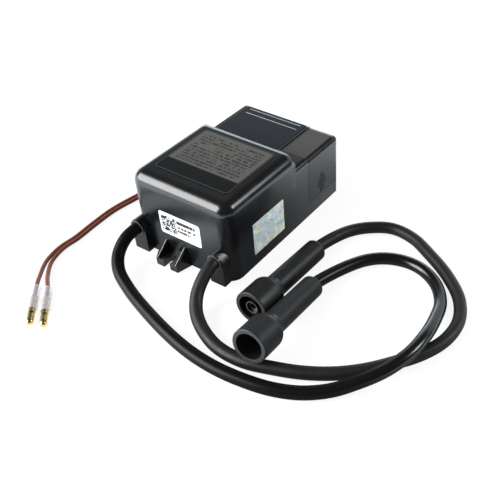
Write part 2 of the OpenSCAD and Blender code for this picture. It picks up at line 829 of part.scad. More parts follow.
// Half of the core: a yoke with two legs, drawn standing on its yoke
module core_half(legs_h) {
    translate([-core_w / 2, -core_d / 2, 0]) cube([core_w, core_d, leg_w]);
    for (side = [-1, 1])
        translate([side * leg_x - leg_w / 2, -core_d / 2, 0]) cube([leg_w, core_d, leg_w + legs_h]);
}

module core_lower() {
    color("#3c3c40") translate([0, core_y, core_z]) core_half(window_h / 2 - fit_gap / 2);
}

module core_upper() {
    color("#3c3c40")
        translate([0, core_y, core_z + core_h]) mirror([0, 0, 1]) core_half(window_h / 2 - fit_gap / 2);
}

// Bobbin on one leg: a square tube with flanges that part its winding into sections
module bobbin(side) {
    color("#d8cfae")
        translate([side * leg_x, core_y, core_z + leg_w + core_gap])
            difference() {
                union() {
                    translate([-tube_w / 2, -tube_d / 2, 0])
                        cube([tube_w, tube_d, section_n * section_h + bobbin_t]);
                    for (i = [0 : section_n])
                        translate([-flange_w / 2, -flange_w / 2, i * section_h])
                            cube([flange_w, flange_w, bobbin_t]);
                }
                translate([-leg_w / 2 - core_gap, -core_d / 2 - core_gap, -1])
                    cube([leg_w + 2 * core_gap, core_d + 2 * core_gap, core_h]);
            }
}

// One section of winding, between two flanges
module winding_section(side, i, inset) {
    size = flange_w - 2 * inset;
    translate([side * leg_x, core_y, core_z + leg_w + core_gap + i * section_h + bobbin_t + fit_gap / 2])
        linear_extrude(section_h - bobbin_t - fit_gap)
            difference() {
                union() {
                    square([size, size - 6], center = true);
                    square([size - 6, size], center = true);
                    for (x = [-1, 1], y = [-1, 1]) translate([x, y] * (size / 2 - 3)) circle(3);
                }
                square([tube_w + fit_gap, tube_d + fit_gap], center = true);
            }
}

module primary_winding(side) {
    color("#b4622d") winding_section(side, 0, 1.6);
}

module hv_winding(side) {
    color("#8a3f24") for (i = [1 : section_n - 1]) winding_section(side, i, 1);
}

module circuit_board() {
    color("#3d6b3a")
        difference() {
            translate([-inner_w / 2 + edge_gap, step_y + edge_gap, board_z])
                cube([inner_w - 2 * edge_gap, rear_y - wall - step_y - 2 * edge_gap, board_t]);
            for (y = clip_ys)
                translate([fuse_x - pin_w / 2 - pin_gap, y - pin_w / 2 - pin_gap, 0])
                    cube([pin_w + 2 * pin_gap, pin_w + 2 * pin_gap, board_top + 1]);
        }
}

module film_capacitor() {
    color("#a8282b")
        translate([parts_x0, parts_y1 - film_d, board_top + fit_gap])
            difference() {
                cube([film_l, film_d, film_h]);
                translate([2, 1.5, -1]) cube([film_l - 4, film_d - 3, 1.6]);
            }
}

module storage_capacitor() {
    color("#20242e")
        translate([parts_x0 + storage_d / 2, terminal_y1 + part_gap + storage_d / 2, board_top + fit_gap]) {
            cylinder(d = storage_d - 0.8, h = storage_h);
            cylinder(d = storage_d, h = 3);
            translate([0, 0, 4]) cylinder(d = storage_d, h = storage_h - 5);
        }
}

// Finned plate that the transistor is fixed to
module heat_sink() {
    color("#a9abad")
        translate([sink_x, sink_y, board_top + fit_gap]) {
            cube([sink_w, sink_t, sink_h]);
            for (i = [0 : 3])
                translate([(sink_w - 1.2) * (i + 0.5) / 4, -sink_t, 0]) cube([1.2, sink_t + tiny, sink_h]);
        }
}

module switching_transistor() {
    color("#17181a")
        translate([sink_x + (sink_w - transistor_w) / 2, sink_y + sink_t + fit_gap, board_top + fit_gap]) {
            translate([0, 0, sink_h / 4]) cube([transistor_w, transistor_d, sink_h * 0.4]);
            translate([0, 0, sink_h / 2]) cube([transistor_w, 1.3, sink_h * 0.4]);
            for (i = [-1, 0, 1])
                translate([transistor_w / 2 + i * transistor_w / 4 - 0.4, 2, 0]) cube([0.8, 0.5, sink_h / 2]);
        }
}

// Drum core of the input choke
module choke_spool() {
    color("#45454a")
        translate([choke_x, choke_y, board_top + fit_gap]) {
            cylinder(r = choke_r, h = choke_t);
            cylinder(r = choke_r * 0.43, h = choke_h);
            translate([0, 0, choke_h - choke_t]) cylinder(r = choke_r, h = choke_t);
        }
}

module choke_winding() {
    color("#b4622d")
        translate([choke_x, choke_y, board_top + choke_t + 2 * fit_gap])
            difference() {
                cylinder(r = choke_r * 0.88, h = choke_h - 2 * choke_t - 2 * fit_gap);
                translate([0, 0, -1]) cylinder(r = choke_r * 0.43 + fit_gap, h = choke_h);
            }
}

// Axial resistors that lie in a row on the board
module resistors() {
    body_r = resistor_pitch / 3;
    span = sink_w * 0.8;
    color("#8fb7c9")
        for (i = [0 : 2])
            translate([sink_x, resistor_y0 + (i + 0.5) * resistor_pitch, board_top + fit_gap + body_r]) {
                translate([span / 6, 0, 0]) rotate([0, 90, 0]) cylinder(r = body_r, h = span * 2 / 3);
                rotate([0, 90, 0]) cylinder(r = 0.4, h = span);
                for (x = [0.4, span - 0.4]) translate([x, 0, -body_r]) cylinder(r = 0.4, h = body_r);
            }
}

// Eight-pin control chip under the fuse bay's front wall
module control_chip() {
    color("#1c1c1e")
        translate([cover_x + 2 * part_gap, step_y + 2 * part_gap, board_top + fit_gap]) {
            translate([0, 0, 1]) cube([9.6, chip_d, 3.2]);
            for (i = [0 : 3], y = [-0.6, chip_d - 0.2])
                translate([0.9 + i * 2.54, y, 0]) cube([0.6, 0.8, 2.4]);
        }
}

// Block that the supply leads end in, against the left wall
module input_terminal() {
    color("#2f6f4a")
        translate([-inner_w / 2 + 2 * edge_gap, grommet_y - terminal_l / 2, board_top + fit_gap])
            difference() {
                cube([terminal_w, terminal_l, grommet_z - board_top + 3.5]);
                for (y = [-1, 1])
                    translate([
                        terminal_w / 2, (terminal_l + y * supply_pitch) / 2, grommet_z - board_top + 1.5
                    ])
                        cylinder(r = 1.1, h = 4);
            }
}

front_case();
rear_case();
boss(boss_left_x);  // lead_boss_left
boss(boss_right_x);  // lead_boss_right
front_foot();
rear_foot();
base_plate();
potting_compound();
fuse_cover();
fuse_glass();
fuse_cap(clip_ys[0]);  // fuse_cap_front
fuse_cap(clip_ys[1]);  // fuse_cap_rear
fuse_clip(clip_ys[0]);  // fuse_clip_front
fuse_clip(clip_ys[1]);  // fuse_clip_rear
rating_label();
rear_label();
code_label();
side_seal();
collar(boss_left_x);  // collar_left
collar(boss_right_x);  // collar_right
hv_lead(boss_left_x, route_left, boot_left_lie);  // hv_lead_left
hv_lead(boss_right_x, route_right, boot_right_lie);  // hv_lead_right
boot(boot_left_lie);  // boot_left
boot(boot_right_lie);  // boot_right
contact(boot_left_lie);  // contact_left
contact(boot_right_lie);  // contact_right
supply_grommet();
supply_lead(1, route_supply_a, sleeve_a_at, sleeve_a_heading);  // supply_lead_a
supply_lead(-1, route_supply_b, sleeve_b_at, sleeve_b_heading);  // supply_lead_b
terminal_sleeve(sleeve_a_at, sleeve_a_heading);  // terminal_sleeve_a
terminal_sleeve(sleeve_b_at, sleeve_b_heading);  // terminal_sleeve_b
bullet(sleeve_a_at, sleeve_a_heading);  // bullet_a
bullet(sleeve_b_at, sleeve_b_heading);  // bullet_b
core_lower();
core_upper();
bobbin(-1);  // bobbin_left
bobbin(1);  // bobbin_right
primary_winding(-1);  // primary_winding_left
primary_winding(1);  // primary_winding_right
hv_winding(-1);  // hv_winding_left
hv_winding(1);  // hv_winding_right
circuit_board();
film_capacitor();
storage_capacitor();
switching_transistor();
heat_sink();
choke_spool();
choke_winding();
resistors();
control_chip();
input_terminal();
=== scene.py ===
import json
import math

import bpy
from mathutils import Matrix, Vector


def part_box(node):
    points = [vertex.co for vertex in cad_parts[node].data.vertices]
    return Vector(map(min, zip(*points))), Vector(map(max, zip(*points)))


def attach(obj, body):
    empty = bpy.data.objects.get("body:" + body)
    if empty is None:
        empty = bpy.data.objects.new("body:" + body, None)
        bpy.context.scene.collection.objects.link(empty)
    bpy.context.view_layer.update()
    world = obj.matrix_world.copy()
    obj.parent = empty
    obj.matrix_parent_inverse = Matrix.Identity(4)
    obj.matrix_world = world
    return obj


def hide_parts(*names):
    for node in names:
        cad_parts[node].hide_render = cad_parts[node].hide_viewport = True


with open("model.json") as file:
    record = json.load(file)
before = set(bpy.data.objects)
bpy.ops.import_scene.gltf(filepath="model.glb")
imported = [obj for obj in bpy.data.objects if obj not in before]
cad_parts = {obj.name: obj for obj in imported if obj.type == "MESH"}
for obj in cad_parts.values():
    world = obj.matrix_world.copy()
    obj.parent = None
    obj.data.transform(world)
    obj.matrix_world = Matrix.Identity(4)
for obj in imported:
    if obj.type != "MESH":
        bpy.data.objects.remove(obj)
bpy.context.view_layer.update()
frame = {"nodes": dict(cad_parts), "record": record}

nodes = frame["nodes"]
scene = bpy.context.scene
scene.view_settings.view_transform = "Standard"

# Camera: its place in metres, its angles in degrees, and its lens and shift for a 36 mm sensor
CAM_AT = Vector((0.2403, -0.2762, 0.2813))
CAM_AZ, CAM_EL, CAM_ROLL = (math.radians(a) for a in (30.84, 40.89, 1.04))
CAM_LENS = 54.1
CAM_SENSOR = 36
CAM_SHIFT = (-0.19884, 0.01024)

# The front foot's middle, and how far from it the gussets' inner sides stand, in metres
FOOT_X = -0.006
GUSSET_IN = 0.006

# Each boot's mouth in millimetres, the direction of its axis, and how far from the mouth its
# contact ends
BOOT_L = 61
BOOTS = {
    "left": (Vector((78.3, -95.7, 16.930)), Vector((-0.061948, 0.984636, -0.163264)), 38.4),
    "right": (Vector((59.3, -69.8, 10.509)), Vector((-0.005223, 0.997522, -0.070156)), 24.9),
}

# Routes of the leads outside the case, as in the part's source, in millimetres
ROUTE_LEFT = [
    (-30.2, -65, 14), (-28.6, -73.6, 9.4), (-21.9, -81.1, 6.2), (-8.9, -87.7, 4.2),
    (10.7, -94.9, 3.5), (31.8, -101.2, 3.5), (48.4, -104.6, 3.5), (65, -105.8, 3.5),
    (81.4, -104.6, 3.5), (95.2, -101.8, 3.5), (107, -97, 3.5), (119, -89, 4.6),
    (129, -79, 7.2), (137, -68, 9.6), (142, -54, 10.8), (143, -40, 10.4),
    (141, -24, 7.6), (136.5, -8, 4.6), (126.8, 4.7, 3.5), (112.7, 11.2, 3.5),
    (97.7, 9.3, 3.5), (85.8, -0.6, 4),
]
ROUTE_RIGHT = [
    (26.2, -66, 13.4), (28, -74.6, 8.6), (33.4, -82.4, 5), (43, -89.2, 3.5),
    (57.2, -94.8, 3.5), (73, -95.3, 3.5), (88, -91.2, 3.5), (102, -85.8, 3.5),
    (115, -78.2, 3.5), (126, -68.8, 3.5), (136.1, -56.9, 3.5), (145.1, -43.9, 3.5),
    (150.4, -30, 3.5), (150.4, -15, 3.5), (143.7, -0.2, 3.5), (129.8, 13.5, 3.5),
    (113.8, 24.1, 3.5), (99, 31.8, 3.5), (85, 33.2, 3.5), (73.4, 27, 3.6),
    (64.8, 16, 4.4),
]
ROUTE_SUPPLY_A = [
    (-43.8, 14.6, 11.2), (-52.8, 11, 6.6), (-59.8, 2.6, 2.8), (-64.8, -10.4, 1.2),
    (-67.8, -25.4, 1.2), (-69.8, -40.2, 1.2), (-69.4, -56, 1.2), (-68.4, -70, 1.2),
    (-68.8, -82, 1.2), (-66, -93.6, 1.2), (-59, -104.2, 1.9),
]
ROUTE_SUPPLY_B = [
    (-43.8, 12.2, 11.2), (-51.8, 8.6, 6.6), (-57.8, 0.6, 2.8), (-62.6, -11.4, 1.2),
    (-65.4, -26.4, 1.2), (-67.4, -40.2, 1.2), (-67, -56, 1.2), (-66, -70, 1.2),
    (-66.4, -81, 1.2), (-63.2, -92.2, 1.2), (-55, -102.4, 1.9),
]

# High-voltage leads: their x in the case, where they start, pass the front wall and leave their
# collars on y, and their height there, all in millimetres, and their radius in metres
HV_X = {"left": -29.1, "right": 25.9}
HV_START_Y, HV_WALL_Y, COLLAR_Y = -43.6, -51, -57.2
HV_Z = 16.2
HV_RADIUS = 0.0035

# Supply leads: the grommet's centre, half the distance between them and the points on x of
# their straight way out through the wall, in millimetres, and their radius in metres
GROMMET_Y, GROMMET_Z = 14, 13
SUPPLY_APART = 1.45
SUPPLY_WALL_X = (-31.1, -34, -37)
SUPPLY_RADIUS = 0.00115
# Each sleeve's end where its lead enters, its heading in degrees, and the side of the grommet's
# centre that its lead comes from
SLEEVES = {
    "a": ((-52.3, -112.3, 2.85), -48, 1),
    "b": ((-46.2, -110.0, 2.85), -46, -1),
}

# The black plastic's grain and index of refraction
BLACK_GRAIN = 0.004
BLACK_IOR = 1.58
# How far the rear rims' normals lean over, as a slope
RIM_LEAN = 0.47
# Tint of what shiny surfaces see of the room
COOL = (0.90, 0.99, 1.06)
# Tones of the side seal's foil: places on the colour ramp and colours
FOIL_TONES = (
    (0.30, "#a9d79d"), (0.40, "#e4e6b4"), (0.46, "#dfe6e0"), (0.52, "#a6dcdc"),
    (0.58, "#e0e2e4"), (0.64, "#c9b6e0"), (0.72, "#ecefee"),
)
# Rows of bars on the code label: distance from the top, height, distance from the right, and
# the level of noise above which a bar is drawn
CODE_ROWS = (
    (0.0026, 0.0022, 0.0034, 0.34), (0.0062, 0.0016, 0.0026, 0.37),
    (0.0088, 0.0016, 0.0070, 0.37),
)

# Distance of the lamps from the part, and half the floor's width, in metres
LAMP_FAR = 2.5
FLOOR_HALF = 3.0


def make_camera():
    """Camera at the photograph's viewing angle. The lens shift places the part in the frame."""
    back = Vector((
        math.sin(CAM_AZ) * math.cos(CAM_EL), -math.cos(CAM_AZ) * math.cos(CAM_EL), math.sin(CAM_EL)
    ))
    right = Vector((math.cos(CAM_AZ), math.sin(CAM_AZ), 0))
    up = back.cross(right)
    rolled_right = right * math.cos(CAM_ROLL) + up * math.sin(CAM_ROLL)
    rolled_up = up * math.cos(CAM_ROLL) - right * math.sin(CAM_ROLL)
    data = bpy.data.cameras.new("camera")
    data.lens = CAM_LENS
    data.sensor_width = CAM_SENSOR
    data.shift_x, data.shift_y = CAM_SHIFT
    data.clip_start = 0.01
    camera = bpy.data.objects.new("camera", data)
    scene.collection.objects.link(camera)
    turn = Matrix((rolled_right, rolled_up, back)).transposed()
    camera.matrix_world = Matrix.Translation(CAM_AT) @ turn.to_4x4()
    scene.camera = camera


make_camera()


def screen(text):
    """Linear colour from one that is written as it looks on a screen."""
    channels = [int(text[i:i + 2], 16) / 255 for i in (1, 3, 5)]
    return tuple(c / 12.92 if c <= 0.04045 else ((c + 0.055) / 1.055) ** 2.4 for c in channels)


class Graph:
    """A tree of shader nodes, with short calls that add and link them. Its place is the vector
    that axes and patterns use."""

    def __init__(self, tree):
        self.tree = tree
        self.place = None

    def add(self, kind, **settings):
        node = self.tree.nodes.new(kind)
        for key, value in settings.items():
            setattr(node, key, value)
        return node

    def feed(self, socket, value):
        """Links an output to a socket, or sets its number, vector or colour, also from text."""
        if isinstance(value, bpy.types.NodeSocket):
            self.tree.links.new(value, socket)
            return
        if isinstance(value, str):
            value = screen(value)
        if isinstance(value, tuple) and len(value) == 3 and len(socket.default_value) == 4:
            value = (*value, 1)
        socket.default_value = value

    def made(self, kind, inputs, output=0, **settings):
        """One output of a new node. The inputs come in their order, or by name or number."""
        node = self.add(kind, **settings)
        for key, value in inputs.items() if isinstance(inputs, dict) else enumerate(inputs):
            self.feed(node.inputs[key], value)
        return node.outputs[output]

    def math(self, operation, a, b=0.0, clamp=False):
        return self.made("ShaderNodeMath", (a, b), operation=operation, use_clamp=clamp)

    def product(self, first, *rest):
        for value in rest:
            first = self.math("MULTIPLY", first, value)
        return first

    def opposite(self, mask):
        return self.math("SUBTRACT", 1.0, mask)

    def either(self, a, b):
        """1 where one of two masks is 1."""
        return self.math("ADD", a, b, clamp=True)

    def distance(self, a, b):
        squares = (self.math("POWER", value, 2.0) for value in (a, b))
        return self.math("SQRT", self.math("ADD", *squares))

    def past(self, value, low, high, inset=0.0):
        """How far a value lies outside a stretch that is drawn in by an inset, 0 within it."""
        offset = self.math("ABSOLUTE", self.math("SUBTRACT", value, (low + high) / 2))
        half = (high - low) / 2 - inset
        return self.math("MAXIMUM", self.math("SUBTRACT", offset, half), 0.0)

    def vector(self, operation, *parts, output=0):
        return self.made("ShaderNodeVectorMath", parts, output, operation=operation)

    def scaled(self, vector, factor):
        return self.made("ShaderNodeVectorMath", {0: vector, "Scale": factor}, operation="SCALE")

    def mix(self, factor, a, b):
        return self.made("ShaderNodeMix", {0: factor, 6: a, 7: b}, 2, data_type="RGBA")

    def axes(self, vector=None):
        node = self.add("ShaderNodeSeparateXYZ")
        self.feed(node.inputs[0], vector or self.place)
        return tuple(node.outputs)

    def joined(self, x, y, z):
        return self.made("ShaderNodeCombineXYZ", (x, y, z))

    def noise(self, scale, detail=2.0, roughness=0.5, vector=None):
        return self.made("ShaderNodeTexNoise", {
            "Vector": vector or self.place, "Scale": scale, "Detail": detail,
            "Roughness": roughness,
        }, "Fac")

    def ranged(self, value, low, high, to_low=0.0, to_high=1.0, smooth=True):
        """A number that goes from to_low to to_high while the value goes from low to high."""
        return self.made(
            "ShaderNodeMapRange", (value, low, high, to_low, to_high),
            interpolation_type="SMOOTHSTEP" if smooth else "LINEAR",
        )

    def blend(self, mask, off, on, smooth=True):
        """A number that goes from off to on as a mask goes from 0 to 1."""
        return self.ranged(mask, 0.0, 1.0, off, on, smooth)

    def between(self, value, low, high, soft):
        """1 where the value lies between low and high, falling to 0 over a soft edge."""
        return self.product(
            self.ranged(value, low - soft / 2, low + soft / 2),
            self.ranged(value, high - soft / 2, high + soft / 2, 1.0, 0.0),
        )


class Paint(Graph):
    """A material with one main shader, whose patterns lie on the object's own axes."""

    def __init__(self, name, kind="ShaderNodeBsdfPrincipled"):
        self.mat = bpy.data.materials.new(name)
        self.mat.use_nodes = True
        super().__init__(self.mat.node_tree)
        self.tree.nodes.clear()
        self.out = self.add("ShaderNodeOutputMaterial")
        self.shader = self.add(kind)
        self.feed(self.out.inputs[0], self.shader.outputs[0])
        self.place = self.add("ShaderNodeTexCoord").outputs["Object"]

    def set(self, **values):
        """Sets or links the shader's inputs, written with _ for spaces."""
        for key, value in values.items():
            self.feed(self.shader.inputs[key.replace("_", " ")], value)

    def surface(self, output):
        """What the surface itself says, such as its normal."""
        return self.add("ShaderNodeNewGeometry").outputs[output]

    def facing(self, toward, normal="True Normal"):
        """1 where the surface faces straight along a direction, and -1 where it faces away."""
        return self.vector("DOT_PRODUCT", self.surface(normal), toward, output="Value")

    def rounded(self, radius):
        """Normals as if the edges were rounded off by the radius."""
        return self.made("ShaderNodeBevel", {"Radius": radius}, samples=8)

    def leaned(self, by):
        """Normals that lean over by a vector."""
        return self.vector("NORMALIZE", self.vector("ADD", self.surface("Normal"), by))

    def rolled(self, y, edge, width, low):
        """Normals that lean over to a rear edge at y = edge, above a height, as a rolled rim's."""
        _, _, z = self.axes()
        lean = self.product(
            self.ranged(y, edge - width, edge - 0.0012, smooth=False),
            self.ranged(y, edge - 0.0010, edge - 0.0005, RIM_LEAN, 0.1),
            self.ranged(z, low, low + 0.004),
        )
        return self.leaned(self.joined(0.0, lean, 0.0))

    def flattened(self, toward, share):
        """Normals drawn to a direction where they lie near it, as on a less curved shoulder."""
        pull = self.ranged(self.facing(toward, "Normal"), 0.55, 0.95, 0.0, share)
        return self.leaned(self.scaled(toward, pull))

    def drifting(self, colour, spread=0.25, scale=60):
        """A colour that drifts a little in tone over the surface."""
        base = screen(colour)
        low = tuple(c * (1 - spread) for c in base)
        high = tuple(min(1.0, c * (1 + spread)) for c in base)
        return self.mix(self.noise(scale, 3.0), low, high)

    def uneven(self, roughness):
        """A roughness that varies a little over the surface."""
        marks = self.noise(140, 4.0, 0.6)
        return self.ranged(marks, 0.25, 0.75, roughness * 0.85, roughness * 1.15)

    def bump(self, height, strength, distance, normal=None):
        """Raises the surface by a height, and gives the finished material."""
        inputs = {"Strength": strength, "Distance": distance, "Height": height}
        if normal:
            inputs["Normal"] = normal
        self.set(Normal=self.made("ShaderNodeBump", inputs))
        return self.mat

    def moulded(self, colour, roughness, grain, wave, ior=1.5, normal=None):
        """Moulded plastic or rubber, with fine grain and a slight wave of the surface."""
        self.set(Base_Color=colour, Roughness=roughness, IOR=ior)
        fine = self.product(self.noise(2600, 3.0), grain)
        slow = self.product(self.noise(45, 1.0), wave)
        return self.bump(self.math("ADD", fine, slow), 1.0, 0.0002, normal)


def moulded_paint(name, colour, roughness, grain=0.02, wave=0.0, spread=0.25):
    """Plain moulded plastic or rubber, with a faint drift in tone."""
    p = Paint(name)
    return p.moulded(p.drifting(colour, spread), p.uneven(roughness), grain, wave)


def block_paint(name, node, colour, top_sheen_colour, roughness, wave, rim_width, side_gloss=0.5):
    """Black plastic of a block whose rear rim looks rolled. Its flat top is dull, and painted paler
    as a painted sheen.
    """
    p = Paint(name)
    x, y, _ = p.axes()
    side, _, up = p.axes(p.surface("Normal"))
    _, (_, edge, top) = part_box(node)
    rim = p.ranged(y, edge - rim_width, edge - rim_width + 0.001)
    flat = p.product(p.ranged(up, 0.95, 0.995), p.opposite(rim))
    # The cover's arrow stands out from the case's side and is dull
    side_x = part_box("front_case")[1][0]
    arrow = p.ranged(x, side_x + 0.00005, side_x + 0.00015)
    p.set(Specular_IOR_Level=p.product(
        p.ranged(side, 0.2, 0.7, 0.5, side_gloss), p.blend(arrow, 1.0, 0.4), p.blend(flat, 1.0, 0.2)
    ))
    # The flat top's paler colour is a painted sheen on the upward faces
    return p.moulded(
        p.mix(flat, colour, p.drifting(top_sheen_colour, 0.2)),
        p.product(p.uneven(1.0), p.blend(flat, roughness, 0.40)),
        BLACK_GRAIN, wave, BLACK_IOR, p.rolled(y, edge, rim_width, top - 0.022),
    )


def rubber_paint(name, colour, spread, roughness, level, grain, wave, edge, mouth, mouth_highlight_colour):
    """Rubber with rounded edges, painted paler on its mouth as a painted highlight, whose faces
    look in one direction.
    """
    p = Paint(name)
    # Painted highlight: faces that look along the mouth's direction are painted paler
    painted_mouth_highlight = p.ranged(p.facing(mouth), 0.90, 0.97)
    p.set(Specular_IOR_Level=level)
    return p.moulded(
        p.mix(painted_mouth_highlight, p.drifting(colour, spread), mouth_highlight_colour), p.uneven(roughness), grain, wave,
        normal=p.rounded(edge),
    )


def boss_paint():
    """Lead boss, whose right shoulder looks less curved than it is built."""
    p = Paint("boss_paint")
    shoulder = tuple(Vector((0.74, 0.0, 0.67)).normalized())
    return p.moulded(
        p.drifting("#101113"), p.uneven(0.32), BLACK_GRAIN, 0.3, BLACK_IOR,
        p.flattened(shoulder, 1.4),
    )


def foot_paint():
    """Front foot, bright on its edges. The gussets' slopes are dull and painted darker as painted
    shade, with a thin painted highlight line on the left of each."""
    p = Paint("foot_paint")
    x, _, _ = p.axes()
    _, front, up = p.axes(p.surface("True Normal"))
    sloped = p.product(p.ranged(up, 0.55, 0.65), p.ranged(front, -0.45, -0.35, 1.0, 0.0))
    left, right = FOOT_X - GUSSET_IN, FOOT_X + GUSSET_IN
    # Painted highlight: a thin light line along each gusset's slope
    line = p.either(
        p.between(x, left - 0.0012, left - 0.0007, 0.0002),
        p.between(x, right - 0.0001, right + 0.0004, 0.0002),
    )
    p.set(Specular_IOR_Level=p.blend(sloped, 0.5, 0.05))
    # The slopes' darker colour is painted shade, and the pale grey line is a painted highlight
    return p.moulded(
        p.mix(sloped, "#0f1012", p.mix(line, "#08090a", "#8f8f8d")), p.blend(sloped, 0.24, 0.60),
        BLACK_GRAIN, 0.3, BLACK_IOR, p.rounded(0.0004),
    )


def contact_paint(side):
    """A metal contact whose faces away from the boot's mouth are painted dark as painted shade,
    with a bright metal end towards the boot's mouth.
    """
    p = Paint(f"contact_paint_{side}")
    _, along, _ = BOOTS[side]
    front = p.ranged(p.facing(tuple(along)), -0.9, -0.6, 1.0, 0.0)
    # The dark colour on faces away from the mouth is painted shade, and the pale colour is the
    # metal's own
    p.set(
        Base_Color=p.mix(front, p.drifting("#1d1c1a", 0.2, 300), "#b9b4a6"),
        Metallic=p.blend(front, 0.5, 1.0), Roughness=0.38,
    )
    return p.bump(p.noise(600), 0.1, 0.0001)


def metal_paint(name, colour, roughness, marks_scale=(400, 400, 400)):
    """Metal with fine marks, which are long where their scale is small."""
    p = Paint(name)
    place = p.made("ShaderNodeMapping", {0: p.place, "Scale": marks_scale})
    marks = p.noise(1.0, 3.0, 0.6, place)
    p.set(
        Base_Color=p.drifting(colour, 0.12, 200), Metallic=1.0,
        Roughness=p.ranged(marks, 0.3, 0.7, roughness * 0.7, roughness * 1.4),
    )
    return p.bump(marks, 0.15, 0.0001)


def rating_label_paint():
    """Rating label: a black strip at the front, a thin pale border and a grey field of rows."""
    p = Paint("rating_label_paint")
    (x0, y0, _), (x1, y1, _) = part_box("rating_label")
    x, y, _ = p.axes()

    def plate(inset, radius):
        """1 inside the label drawn in by an inset, with rounded corners."""
        corner = p.distance(p.past(x, x0, x1, inset + radius), p.past(y, y0, y1, inset + radius))
        return p.ranged(corner, radius - 0.00012, radius + 0.00012, 1.0, 0.0)

    border = p.math("SUBTRACT", plate(0.0002, 0.0024), plate(0.0006, 0.0020))
    # The field starts where the strip ends
    field = p.product(plate(0.0012, 0.0016), p.ranged(y, y0 + 0.0106, y0 + 0.0109))

    # Rows of small dashes, in groups, that stand for fine print
    row = p.math("DIVIDE", y, 0.0026)
    number, height = p.math("FLOOR", row), p.math("FRACT", row)

    def strokes(scale, shift, low, high):
        """1 on strokes and 0 on the gaps between them, placed in a new way in each row."""
        place = p.joined(p.product(x, scale), p.product(number, shift), 0.0)
        return p.ranged(p.noise(1.0, 1.0, 0.5, place), low, high)

    ink = p.product(
        p.between(height, 0.2, 0.8, 0.12),
        strokes(1000, 7.3, 0.42, 0.50), strokes(110, 3.1, 0.36, 0.42),
        p.between(x, x0 + 0.004, x1 - 0.004, 0.001), p.between(y, y0 + 0.0125, y1 - 0.004, 0.001),
    )
    grey = p.mix(p.product(ink, 0.9), p.drifting("#4b4b48", 0.12, 70), "#1f1f1f")
    p.set(
        Base_Color=p.mix(p.product(border, 0.7), p.mix(field, "#08090a", grey), "#4c4d4b"),
        Roughness=p.blend(field, 0.30, 0.48), IOR=1.5, Specular_IOR_Level=0.13,
    )
    return p.bump(p.math("ADD", p.noise(500), p.product(ink, -0.6)), 0.06, 0.0001)


def rear_label_paint():
    """Rear label: dark blue-grey film with two thin pale lines."""
    p = Paint("rear_label_paint")
    (x0, _, _), (x1, _, _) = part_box("rear_label")
    x, y, _ = p.axes()
    lines = p.product(
        p.either(p.between(y, 0.0483, 0.0488, 0.0002), p.between(y, 0.0436, 0.0441, 0.0002)),
        p.between(x, x0 + 0.003, x1 - 0.003, 0.0004),
    )
    p.set(
        Base_Color=p.mix(p.product(lines, 0.9), p.drifting("#15191e", 0.1, 80), "#a9aeb0"),
        Roughness=0.34, IOR=1.5, Specular_IOR_Level=0.12,
    )
    return p.bump(p.noise(500), 0.05, 0.0001)


def code_label_paint():
    """Code label: white film with a block of square cells on the left and rows of bars."""
    p = Paint("code_label_paint")
    (x0, _, z0), (x1, _, z1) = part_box("code_label")
    x, _, z = p.axes()
    cell = 0.0007
    block = 15 * cell
    left, low = x0 + 0.0012, z0 + 0.0022
    column, line = (
        p.math("FLOOR", p.math("DIVIDE", p.math("SUBTRACT", value, start), cell))
        for value, start in ((x, left), (z, low))
    )
    chance = p.made(
        "ShaderNodeTexWhiteNoise", {"Vector": p.joined(column, line, 3.0)}, "Value",
        noise_dimensions="3D",
    )
    ink = p.product(
        p.between(x, left, left + block, 0.0001), p.between(z, low, low + block, 0.0001),
        p.math("GREATER_THAN", chance, 0.33),
    )
    for number, (top, height, right, level) in enumerate(CODE_ROWS):
        strokes = p.noise(1.0, 1.0, 0.5, p.joined(p.product(x, 1500), number * 5 + 0.5, 0.0))
        ink = p.either(ink, p.product(
            p.between(z, z1 - top - height, z1 - top, 0.0002),
            p.between(x, x0 + 0.0122, x1 - right, 0.0002), p.ranged(strokes, level, level + 0.08),
        ))
    p.set(
        Base_Color=p.mix(ink, p.drifting("#e6e7e9", 0.02, 100), "#141416"), Roughness=0.4, IOR=1.45
    )
    return p.bump(p.noise(600), 0.04, 0.0001)


def seal_paint():
    """Side seal: silver foil whose fine cells turn different pale colours."""
    p = Paint("seal_paint")
    (_, y0, z0), (_, y1, z1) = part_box("side_seal")
    _, y, z = p.axes()
    tint = p.add("ShaderNodeValToRGB")
    p.feed(tint.inputs[0], p.noise(150, 3.0, 0.65))
    stops = tint.color_ramp.elements
    stops[0].position, stops[1].position = FOIL_TONES[0][0], FOIL_TONES[-1][0]
    for position, _ in FOIL_TONES[1:-1]:
        stops.new(position)
    for stop, (_, colour) in zip(stops, FOIL_TONES):
        stop.color = (*screen(colour), 1)
    cells = p.add("ShaderNodeTexVoronoi")
    p.feed(cells.inputs["Vector"], p.place)
    p.feed(cells.inputs["Scale"], 1100)
    sparks = p.made(
        "ShaderNodeHueSaturation",
        {"Saturation": 0.6, "Value": 1.3, "Color": cells.outputs["Color"]},
    )
    base = p.mix(0.30, tint.outputs[0], sparks)
    middle = p.product(
        p.between(y, y0 + 0.006, y1 - 0.006, 0.009), p.between(z, z0 + 0.004, z1 - 0.005, 0.007)
    )
    base = p.mix(p.product(middle, 0.22), base, "#a5c2e6")
    stripe = p.between(z, z0 + 0.0012, z0 + 0.0045, 0.0006)
    base = p.mix(p.product(stripe, 0.45), base, "#e9efdf")
    shade = p.ranged(p.noise(900, 2.0, 0.7), 0.3, 0.7, 0.88, 1.20, smooth=False)
    p.set(
        Base_Color=p.scaled(base, shade),
        Metallic=p.ranged(p.noise(300), 0.4, 0.6, 0.10, 0.40, smooth=False),
        Roughness=p.ranged(cells.outputs["Distance"], 0.0, 0.6, 0.3, 0.55),
    )
    return p.bump(p.noise(700, 3.0), 0.25, 0.0002)


